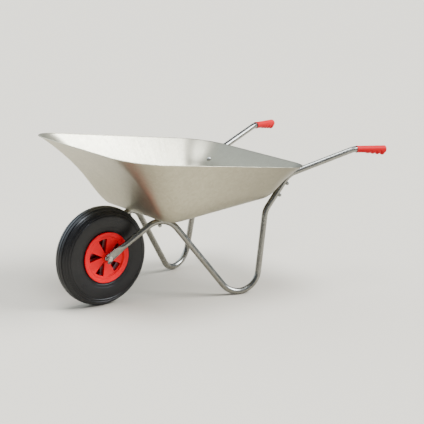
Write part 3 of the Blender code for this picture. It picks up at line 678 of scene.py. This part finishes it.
def fork_frame():
    """The fork end's direction to the tray, and the direction across its flat."""
    along = Vector((-math.cos(FORK_RISE), 0, math.sin(FORK_RISE)))
    wide = Vector((math.sin(FORK_RISE), 0, math.cos(FORK_RISE)))
    return along, wide


def side_path():
    """The left tube's centre line, from the fork's tip to the handle's end."""
    along, _ = fork_frame()
    axle = Vector((AXLE.x, FORK_Y, AXLE.z))
    corners = [axle - along * (FORK_TIP + STRAIGHT_STEP), axle + along * FORK_FLAT]
    corners += [side_point(x, z) for x, z, radius in SIDE_CORNERS]
    corners.append(side_point(*HANDLE_END))
    return filleted(corners, [FORK_BEND] + [radius for x, z, radius in SIDE_CORNERS])


def pressed(side, out):
    """The flattened end's section: thin in the middle, with two thick rounded lips."""
    lip = smoothstep(0.66, 0.86, abs(side))
    thick = FORK_MID + (FORK_LIP - FORK_MID) * lip
    share = min(1.0, abs(out) / 0.42)
    return FORK_HALF_WIDTH * side, math.copysign(thick * math.sqrt(1 - (1 - share) ** 2), out)


def make_side_tube(mat):
    """The left tube, round along its length and pressed flat, with lips, at the fork."""
    along, _ = fork_frame()
    axle = Vector((AXLE.x, FORK_Y, AXLE.z))
    path = spaced(side_path(), STRAIGHT_STEP, FORK_ROUND + FORK_TIP)
    rings, flow, travelled = [], [], 0.0
    for i, place in enumerate(path):
        before, after = path[max(i - 1, 0)], path[min(i + 1, len(path) - 1)]
        tangent = (after - before).normalized()
        out_axis = (Vector((0, 1, 0)) - tangent * tangent.y).normalized()
        side_axis = out_axis.cross(tangent)
        travelled += (place - path[max(i - 1, 0)]).length
        reach = (place - axle).dot(along)
        flat = 1 - smoothstep(FORK_FLAT, FORK_ROUND, reach) if place.x > FORK_FROM_X else 0.0
        ring = []
        for out, side, _ in circle(1.0, 0.0, TUBE_SIDES):
            flat_side, flat_out = pressed(side, out)
            width = TUBE_R * side * (1 - flat) + flat_side * flat
            depth = TUBE_R * out * (1 - flat) + flat_out * flat
            ring.append(place + side_axis * width + out_axis * depth)
            flow.append((TUBE_R * side, TUBE_R * out, travelled))
        rings.append(ring)
    tube = mesh_object("side_tube_left", lofted(rings, caps=True), mat)
    grain(tube, flow)
    cut(tube, [fork_cutter()])
    smooth(tube, crease=40)
    return tube


def fork_cutter():
    """What is cut from the pressed end: the axle's slot, and all past two rounded prongs."""
    slot = SLOT_R
    prong = (FORK_HALF_WIDTH + 0.0004 - slot) / 2
    tip = FORK_TIP - prong
    beyond, wide, deep = CUTTER_REACH
    lower = arc((tip, -slot - prong), prong, -90, 90, 12)
    inner = arc((0.0, 0.0), slot, 270, 90, 16)
    upper = arc((tip, slot + prong), prong, -90, 90, 12)
    outline = [(beyond, -wide), (tip, -wide), *lower, *inner, *upper, (tip, wide), (beyond, wide)]
    cutter = prism("fork_cutter", outline, deep)
    along, across = fork_frame()
    turn = Matrix((-along, across, Vector((0, 1, 0)))).transposed().to_4x4()
    cutter.matrix_world = Matrix.Translation((AXLE.x, FORK_Y, AXLE.z)) @ turn
    return cutter


# ---- grips -----------------------------------------------------------
GRIP_RINGS = 150
GRIP_SIDES = 56
GRIP_DOME = (0.0050, 12)        # length of the rounded end, and its rings
GRIP_DOME_SHRINK = 0.34
GRIP_COLLAR = 0.0007            # how far the collar stands out
GRIP_SEAM = 0.00025             # height of the mould's parting line


def make_grip(mat):
    """A moulded sleeve with finger lobes below, a collar at its mouth and a domed end."""
    corner = side_point(*SIDE_CORNERS[-1][:2])
    end = side_point(*HANDLE_END)
    axis = (end - corner).normalized()
    start = corner + axis * GRIP_START
    length = (GRIP_END_X - start.x) / axis.x
    side = axis.cross(Vector((0, 0, 1))).normalized()
    up = side.cross(axis).normalized()
    low, high = GRIP_LOBE_SPAN
    dome, dome_rings = GRIP_DOME[0] / length, GRIP_DOME[1]
    rings = []
    for i in range(GRIP_RINGS + 1):
        share = i / GRIP_RINGS
        if i > GRIP_RINGS - dome_rings:
            turn = math.radians(90) * (i - GRIP_RINGS + dome_rings) / dome_rings
            share = 1 - dome * (1 - math.sin(turn))
        radius = GRIP_R[0] + (GRIP_R[1] - GRIP_R[0]) * share
        radius += GRIP_COLLAR * (1 - smoothstep(0.022, 0.030, share))
        inside = (share - low) / (high - low)
        lobe = 0.0
        if 0 < inside < 1:
            height = GRIP_LOBE[0] + (GRIP_LOBE[1] - GRIP_LOBE[0]) * inside
            lobe = height * abs(math.sin(math.pi * GRIP_LOBES * inside)) ** 0.8
        over = max(0.0, (share - 1 + dome) / dome)
        shrink = 1 - GRIP_DOME_SHRINK * (1 - math.sqrt(max(0.0, 1 - over ** 2)))
        ring = []
        for x, y, _ in circle(1.0, 0.0, GRIP_SIDES):
            down = max(0.0, -y) ** 1.5
            seam = GRIP_SEAM * (1 - smoothstep(0.0, 0.09, abs(y)))
            reach = (radius + lobe * down + seam) * shrink
            ring.append(start + axis * (length * share) + side * (reach * x) + up * (reach * y))
        rings.append(ring)
    mouth = []
    for over, depth in ((0.0012, 0.0), (0.0004, 0.0010), (0.0003, 0.006)):
        radius = TUBE_R + over
        mouth.append([start + axis * depth + side * x + up * y
                      for x, y, _ in circle(radius, 0.0, GRIP_SIDES)])
    return mesh_object("hand_grip_left", lofted(mouth[::-1] + rings, caps=True), mat)


# ---- tray ------------------------------------------------------------
CORNER_SEGMENTS = 26
STRAIGHT_SEGMENTS = 22
WALL_RINGS = 34
FILLET_RINGS = 18
FILLET_INSET_SHARE = 0.75       # of the fillet's size, by which it draws the outline in
HEM_R = 0.0017                  # the rim's edge is rolled over to this radius
HEM_STEPS = 8


def rounded_outline(corners, radii):
    """A four-sided outline with arcs for corners and evenly divided sides, as (x, y) vectors."""
    arcs = []
    for i, (corner, radius) in enumerate(zip(corners, radii)):
        back = (corners[i - 1] - corner).normalized()
        ahead = (corners[(i + 1) % 4] - corner).normalized()
        half_angle = back.angle(ahead) / 2
        centre = corner + (back + ahead).normalized() * (radius / math.sin(half_angle))
        start = corner + back * (radius / math.tan(half_angle)) - centre
        end = corner + ahead * (radius / math.tan(half_angle)) - centre
        arcs.append([centre + start.slerp(end, k / CORNER_SEGMENTS) * radius
                     for k in range(CORNER_SEGMENTS + 1)])
    points = []
    for one, two in zip(arcs, arcs[1:] + arcs[:1]):
        points += one
        points += [one[-1].lerp(two[0], k / STRAIGHT_SEGMENTS) for k in range(1, STRAIGHT_SEGMENTS)]
    return points


def partway(one, two, shares):
    """A point between two others, with a share of its own along each axis."""
    return Vector([a + (b - a) * share for a, b, share in zip(one, two, shares)])


def tray_ring(share, inset):
    """The tray's outline at a share of its depth, drawn in by an inset, as 3-D points."""
    bulge = share * (1 - share)
    front_x, side, rear_x = (share + flare * bulge for flare in FLARE)
    front = partway(RIM_FRONT, FLOOR_FRONT, (front_x, side, share))
    rear = partway(RIM_REAR, FLOOR_REAR, (rear_x, side, share))
    back = rear.x + inset * REAR_FILLET_SHARE + TRAY_INSET
    drawn = inset + TRAY_INSET
    corners = [Vector((front.x - drawn, front.y - drawn)), Vector((back, rear.y - drawn)),
               Vector((back, drawn - rear.y)), Vector((front.x - drawn, drawn - front.y))]
    radii = [top + (floor - top) * share - inset * 0.3
             for top, floor in zip(RIM_CORNER_R, FLOOR_CORNER_R)]
    outline = rounded_outline(corners, [radii[0], radii[1], radii[1], radii[0]])
    slope = (rear.z - front.z) / (rear.x - front.x)
    return [Vector((p.x, p.y, front.z + slope * (p.x - front.x))) for p in outline]


def outwards(ring):
    """Level directions square to a ring's outline, away from its inside."""
    count = len(ring)
    normals = []
    for j in range(count):
        step = ring[(j + 1) % count] - ring[j - 1]
        normals.append(Vector((step.y, -step.x, 0)).normalized())
    middle = sum(ring, Vector()) / count
    sign = 1 if normals[0].dot(ring[0] - middle) > 0 else -1
    return [normal * sign for normal in normals]


def make_tray(mat):
    """A pressed pan whose rim is rolled into a thin hem."""
    rings = [tray_ring((1 - FILLET_DEPTH) * i / WALL_RINGS, 0.0) for i in range(WALL_RINGS + 1)]
    for i in range(1, FILLET_RINGS + 1):
        angle = math.radians(90) * i / FILLET_RINGS
        rings.append(tray_ring(1 - FILLET_DEPTH * (1 - math.sin(angle)),
                               FLOOR_FILLET * FILLET_INSET_SHARE * (1 - math.cos(angle))))
    floor_middle = sum(rings[-1], Vector()) / len(rings[-1])
    rings += [[place.lerp(floor_middle, share) for place in rings[-1]]
              for share in (0.15, 0.35, 0.6, 0.85)]
    bm = lofted(rings)
    bm.verts.ensure_lookup_table()
    count = len(rings[0])
    bm.faces.new(bm.verts[-count:])
    bmesh.ops.recalc_face_normals(bm, faces=bm.faces)
    if max(bm.faces, key=lambda face: face.calc_area()).normal.z > 0:
        bmesh.ops.reverse_faces(bm, faces=bm.faces)
    tray = mesh_object("tray_pan", bm, mat, crease=60)
    around = distances_along(rings[0])
    flow, depth = [], 0.0
    for before, ring in zip([rings[0]] + rings, rings):
        depth += (ring[0] - before[0]).length
        flow += [(length, depth, 0.0) for length in around]
    grain(tray, flow)
    sheet = tray.modifiers.new("Sheet", "SOLIDIFY")
    sheet.thickness = SHEET
    sheet.offset = -1
    return tray, make_hem(rings[0], mat)


def make_hem(ring, mat):
    """The rolled edge: a thin round bead along the rim."""
    normals = outwards(ring)
    loops = []
    for k in range(HEM_STEPS):
        angle = 2 * math.pi * k / HEM_STEPS
        loops.append([place + normal * (HEM_R * math.cos(angle) - HEM_R * 0.5)
                      + Vector((0, 0, HEM_R * math.sin(angle) - HEM_R * 0.6))
                      for place, normal in zip(ring, normals)])
    hem = mesh_object("tray_hem", lofted(loops, wrap=True), mat, crease=60)
    grain(hem, [(length, 0.002 * k, 0.0) for k in range(HEM_STEPS)
                for length in distances_along(ring)])
    return hem


# ---- fasteners -------------------------------------------------------
NUT_SIDES = 60
ROUND_SIDES = 48                # of washers, spacers and bushes
SHANK_SIDES = 32
EDGE = 0.0005                   # chamfers and rounded edges
CHAMFER_SHARE = 0.96            # of a nut's width across its flats
CHAMFER_TILT = math.radians(62)
THREAD_DEPTH = 0.0005
BOLT_SHANK_R = 0.0040
BOLT_HEAD = 0.0040
BOLT_PLAIN = 0.010              # length of the shank without thread
BOLT_PITCH = 0.00125
BOLT_NUT_HOLE_R = 0.0041
BOLT_HOLE_R = 0.0043            # in the washers and spacers
AXLE_SHANK_R = 0.0060
AXLE_HEAD = 0.0075
AXLE_THREAD = 0.029             # length of the threaded end
AXLE_PITCH = 0.00175
AXLE_NUT_HOLE_R = 0.0061
AXLE_HOLE_R = 0.0063            # in the washers and spacers
BUSH_BORE_R = 0.0064
BUSH_FLANGE = 0.0020
THREAD_START = 0.001            # the step from the plain shank to the thread
CAP_SIDES = 72
CAP_RIBS = 18


def placed_like(node, longest):
    """A CAD fastener's middle, axis, half length, radius and the way to its widest corner."""
    points = np.array([v.co for v in frame["nodes"][node].data.vertices], float)
    centre = points.mean(0)
    spread = np.linalg.eigh(np.cov((points - centre).T))
    axis = spread[1][:, -1 if longest else 0]
    heights = (points - centre) @ axis
    middle = centre + axis * (heights.max() + heights.min()) / 2
    from_middle = points - middle
    heights = from_middle @ axis
    rest = from_middle - np.outer(heights, axis)
    distances = np.linalg.norm(rest, axis=1)
    widest = distances.argmax()
    half = (heights.max() - heights.min()) / 2
    if heights[widest] < 0:
        axis = -axis
    return Vector(middle), Vector(axis), half, distances[widest], Vector(rest[widest])


def aligned(obj, place, axis, towards=None):
    """Set a piece made about Z at a place, its Z along an axis and its X towards a direction."""
    across = towards.normalized() if towards else axis.orthogonal().normalized()
    other = axis.cross(across).normalized()
    turn = Matrix((other.cross(axis).normalized(), other, axis)).transposed()
    obj.matrix_world = Matrix.Translation(place) @ turn.to_4x4()
    return obj


def hex_rings(corner_r, half, hole_r):
    """Rings of a chamfered hexagon about Z, its corners towards +X, from the hole round to it."""
    flat_r = corner_r * math.cos(math.radians(30))
    chamfer_r = flat_r * CHAMFER_SHARE
    bite = (corner_r - chamfer_r) / math.tan(CHAMFER_TILT)

    def outer(share, side):
        """The outside at a share of the chamfer's width, on the upper or the lower side."""
        limit = chamfer_r + (corner_r - chamfer_r) * share
        ring = []
        for i in range(NUT_SIDES):
            angle = 2 * math.pi * i / NUT_SIDES
            off = (angle % math.radians(60)) - math.radians(30)
            radius = min(flat_r / math.cos(off), limit)
            ring.append((radius * math.cos(angle), radius * math.sin(angle),
                         side * (half - bite * share)))
        return ring

    shares = (0.0, 0.25, 0.5, 0.75, 1.0)
    rings = [circle(hole_r, half - EDGE, NUT_SIDES), circle(hole_r + EDGE, half, NUT_SIDES)]
    rings += [outer(share, 1) for share in shares]
    rings += [outer(share, -1) for share in reversed(shares)]
    rings += [circle(hole_r + EDGE, -half, NUT_SIDES), circle(hole_r, -half + EDGE, NUT_SIDES)]
    return rings


def make_nut(name, node, hole_r, mat):
    """A chamfered hexagonal nut."""
    place, axis, half, radius, corner = placed_like(node, longest=False)
    nut = mesh_object(name, lofted(hex_rings(radius, half, hole_r), wrap=True), mat, crease=25)
    return aligned(nut, place, axis, corner)


def make_washer(name, node, hole_r, mat):
    """A flat washer with softened edges."""
    place, axis, half, radius, _ = placed_like(node, longest=False)
    soft = half * 0.45
    profile = [(hole_r, -half + soft), (hole_r, half - soft), (hole_r + soft, half)]
    profile += [(radius - soft, half), (radius, half - soft), (radius, -half + soft),
                (radius - soft, -half), (hole_r + soft, -half)]
    return aligned(mesh_object(name, turned(profile, ROUND_SIDES), mat), place, axis)


def threaded(radius, top, bottom, pitch, steps):
    """Rings of a threaded shank from top to bottom: the ridge climbs one pitch a turn."""
    rings = []
    count = round((top - bottom) / (pitch / 6))
    for i in range(count + 1):
        height = top + (bottom - top) * i / count
        fade = min(1.0, (height - bottom) / pitch)
        ring = []
        for j in range(steps):
            phase = (height / pitch - j / steps) % 1.0
            ridge = abs(phase - 0.5) * 2
            reach = radius - THREAD_DEPTH * ridge - THREAD_DEPTH * (1 - fade)
            angle = 2 * math.pi * j / steps
            ring.append((reach * math.cos(angle), reach * math.sin(angle), height))
        rings.append(ring)
    return rings


def make_tray_bolt(name, node, mat):
    """A domed bolt with a threaded shank."""
    place, axis, half, radius, _ = placed_like(node, longest=True)
    neck = half - BOLT_HEAD
    profile = []
    for angle in (3, 15, 30, 45, 60, 75, 87):
        tilt = math.radians(angle)
        profile.append((radius * math.sin(tilt), neck + BOLT_HEAD * math.cos(tilt)))
    profile += [(radius - 0.0004, neck), (BOLT_SHANK_R, neck), (BOLT_SHANK_R, neck - BOLT_PLAIN)]
    rings = [circle(*point, SHANK_SIDES) for point in profile]
    rings += threaded(BOLT_SHANK_R, neck - BOLT_PLAIN - THREAD_START, -half, BOLT_PITCH,
                      SHANK_SIDES)
    return aligned(mesh_object(name, lofted(rings, caps=True), mat), place, axis)


def make_axle(mat):
    """The long bolt through the wheel: hexagonal head, plain shank, threaded end."""
    place, axis, half, radius, corner = placed_like("axle_bolt", longest=True)
    head_rings = hex_rings(radius, AXLE_HEAD / 2, AXLE_SHANK_R)
    shifted = [[(x, y, z + half - AXLE_HEAD / 2) for x, y, z in ring] for ring in head_rings[1:-1]]
    crown = [circle(0.0008, half + 0.0006, NUT_SIDES), circle(0.0050, half + 0.0004, NUT_SIDES)]
    shank = [circle(AXLE_SHANK_R, half - AXLE_HEAD, NUT_SIDES),
             circle(AXLE_SHANK_R, -half + AXLE_THREAD + THREAD_START, NUT_SIDES)]
    shank += threaded(AXLE_SHANK_R, -half + AXLE_THREAD, -half, AXLE_PITCH, NUT_SIDES)
    axle = mesh_object("axle_through_bolt", lofted(crown + shifted + shank, caps=True), mat,
                       crease=25)
    return aligned(axle, place, axis, corner)


def make_sleeve(name, node, hole_r, mat):
    """A spacer: a short tube with chamfered ends."""
    place, axis, half, radius, _ = placed_like(node, longest=False)
    profile = [(hole_r, -half + EDGE), (hole_r + EDGE, -half), (radius - EDGE, -half),
               (radius, -half + EDGE), (radius, half - EDGE), (radius - EDGE, half),
               (hole_r + EDGE, half), (hole_r, half - EDGE)]
    return aligned(mesh_object(name, turned(profile, ROUND_SIDES), mat), place, axis)


def make_bush(name, node, sign, mat):
    """A flanged bush in the hub's end, its flange's edge rounded."""
    low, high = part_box(node)
    flange_r = (high.z - low.z) / 2
    outside = max(abs(low.y), abs(high.y))
    inside = min(abs(low.y), abs(high.y))
    profile = [(BUSH_BORE_R, inside), (BUSH_BORE_R, outside - EDGE), (BUSH_BORE_R + EDGE, outside)]
    profile += arc((flange_r - EDGE, outside - EDGE), EDGE, 90, 0, 3)
    profile += [(flange_r, outside - BUSH_FLANGE), (BUSH_R, outside - BUSH_FLANGE),
                (BUSH_R, inside)]
    bush = mesh_object(name, turned(profile, ROUND_SIDES), mat)
    return aligned(bush, Vector((AXLE.x, 0, AXLE.z)), Vector((0, sign, 0)))


def make_valve_cap(mat):
    """A ribbed cap on the valve's end."""
    place, _, half, radius, _ = placed_like("valve_cap", longest=True)
    rings = [circle(radius * 0.35, half, CAP_SIDES), circle(radius * 0.72, half, CAP_SIDES),
             circle(radius * 0.92, half - 0.0012, CAP_SIDES)]
    ribbed = []
    for i in range(CAP_SIDES):
        angle = 2 * math.pi * i / CAP_SIDES
        reach = radius * 0.92 + radius * 0.08 * (0.5 + 0.5 * math.cos(CAP_RIBS * angle))
        ribbed.append((reach * math.cos(angle), reach * math.sin(angle)))
    rings += [[(x, y, height) for x, y in ribbed]
              for height in (half - 0.0030, -half + 0.0025, -half + 0.0008)]
    rings.append(circle(radius * 0.85, -half, CAP_SIDES))
    return aligned(mesh_object("valve_dust_cap", lofted(rings, caps=True), mat), place,
                   (Vector((AXLE.x, 0, AXLE.z)) - place).normalized())


# ---- stage -----------------------------------------------------------
def make_camera():
    """The camera, ahead of the barrow and to its left, looking a little down."""
    data = bpy.data.cameras.new("camera")
    data.lens = CAMERA_LENS
    data.sensor_width = CAMERA_SENSOR
    data.clip_start, data.clip_end = CAMERA_CLIP
    camera = bpy.data.objects.new("camera", data)
    ahead = Vector((-math.sin(CAMERA_YAW) * math.cos(CAMERA_PITCH),
                    -math.cos(CAMERA_YAW) * math.cos(CAMERA_PITCH), -math.sin(CAMERA_PITCH)))
    level = Vector((-math.cos(CAMERA_YAW), math.sin(CAMERA_YAW), 0))
    roll = Matrix.Rotation(-CAMERA_ROLL, 3, ahead)
    right = roll @ level
    up = right.cross(ahead)
    turn = Matrix((right, up, -ahead)).transposed()
    camera.matrix_world = Matrix.Translation(CAMERA_PLACE) @ turn.to_4x4()
    bpy.context.scene.collection.objects.link(camera)
    bpy.context.scene.camera = camera


def make_stage():
    """The floor."""
    bm = bmesh.new()
    bmesh.ops.create_grid(bm, x_segments=FLOOR_SQUARES, y_segments=FLOOR_SQUARES,
                          size=FLOOR_SIZE / 2)
    floor = mesh_object("floor", bm, floor_paint())
    floor.location.z = -FLOOR_DROP


def make_sky():
    """Soft studio light: dim all round, bright overhead and rear left, softer at the right."""
    world = bpy.data.worlds.new("studio")
    bpy.context.scene.world = world
    world.use_nodes = True
    tree = world.node_tree
    place = add_node(tree, "ShaderNodeTexCoord").outputs["Generated"]
    total = SKY_BASE
    vector = "ShaderNodeVectorMath"
    for direction, half_angle, edge, colour in SKY_LIGHTS:
        aim = add_node(tree, vector, {0: place, 1: Vector(direction).normalized()},
                       operation="DOT_PRODUCT").outputs["Value"]
        limits = {"From Min": math.cos(math.radians(half_angle + edge)),
                  "From Max": math.cos(math.radians(half_angle - edge))}
        share = add_node(tree, "ShaderNodeMapRange", {"Value": aim, **limits},
                         interpolation_type="SMOOTHERSTEP").outputs["Result"]
        light = add_node(tree, vector, {0: colour, "Scale": share}, operation="SCALE")
        total = add_node(tree, vector, {0: light.outputs["Vector"], 1: total},
                         operation="ADD").outputs["Vector"]
    join(tree, total, tree.nodes["Background"].inputs["Color"])


# ---- build -----------------------------------------------------------
def build_wheel(mats):
    on_body(make_tyre(mats["tyre"]), "wheel", "tyre_rubber", "tyre")
    on_body(make_rim(mats["rim"]), "wheel", "red_rim_plastic", "rim")
    on_body(make_valve_cap(mats["cap"]), "wheel", "black_plastic", "valve_cap")
    for side, sign in SIDES:
        bush = make_bush(f"bush_{side}", f"hub_bush_{side}", sign, mats["bush"])
        on_body(bush, "wheel", "bush_plastic", f"hub_bush_{side}")
    frame["nodes"]["inner_tube"].data.materials.clear()
    frame["nodes"]["inner_tube"].data.materials.append(mats["tube_rubber"])


def fasten(make, name, node, *rest):
    """Make a fastener like a CAD node, and put it on the frame in that node's place."""
    on_body(make(name, node, *rest), "frame", "zinc_plate", node)


def build_axle(mats):
    plate = mats["zinc"]
    on_body(make_axle(plate), "frame", "zinc_plate", "axle_bolt")
    fasten(make_nut, "axle_lock_nut", "axle_nut", AXLE_NUT_HOLE_R, plate)
    for side, _ in SIDES:
        fasten(make_washer, f"fork_washer_{side}", f"axle_washer_{side}", AXLE_HOLE_R, plate)
        fasten(make_sleeve, f"fork_spacer_{side}", f"axle_spacer_{side}", AXLE_HOLE_R, plate)


def add_pair(left, twin_name, slot, node):
    """Put a left piece and its mirrored twin on the frame, in place of their CAD nodes."""
    right = mirrored(twin_name, left)
    on_body(left, "frame", slot, f"{node}_left")
    on_body(right, "frame", slot, f"{node}_right")


def build_frame(mats):
    tray, hem = make_tray(mats["sheet"])
    on_body(tray, "frame", "galvanised_sheet", "tray")
    on_body(hem, "frame", "galvanised_sheet")
    add_pair(make_side_tube(mats["tube"]), "side_tube_right", "galvanised_tube", "frame_tube")
    add_pair(make_grip(mats["grip"]), "hand_grip_right", "red_grip_plastic", "grip")
    dull = mats["bolt"]
    for side, _ in SIDES:
        fasten(make_sleeve, f"floor_spacer_{side}", f"tray_spacer_{side}", BOLT_HOLE_R, dull)
        for place in BOLT_PLACES:
            end = f"{side}_{place}"
            fasten(make_tray_bolt, f"bolt_{end}", f"tray_bolt_{end}", dull)
            fasten(make_washer, f"washer_{end}", f"tray_washer_{end}", BOLT_HOLE_R, dull)
            fasten(make_nut, f"nut_{end}", f"tray_nut_{end}", BOLT_NUT_HOLE_R, dull)


def main():
    make_camera()
    make_sky()
    make_stage()
    mats = {
        "sheet": galvanised_sheet(),
        "tube": galvanised_tube(),
        "zinc": zinc("zinc_plate", colour=(0.52, 0.51, 0.47), rough=0.30),
        "bolt": zinc("zinc_bolts", colour=(0.34, 0.335, 0.31), rough=0.36),
        "rim": rim_plastic(),
        "grip": grip_plastic(),
        "tyre": tyre_rubber(),
        "tube_rubber": matt_black("butyl_rubber", grey=0.012, rough=0.62),
        "cap": matt_black("black_plastic", grey=0.012, rough=0.45),
        "bush": matt_black("bush_plastic", grey=0.06, rough=0.50),
    }
    build_wheel(mats)
    build_axle(mats)
    build_frame(mats)


main()
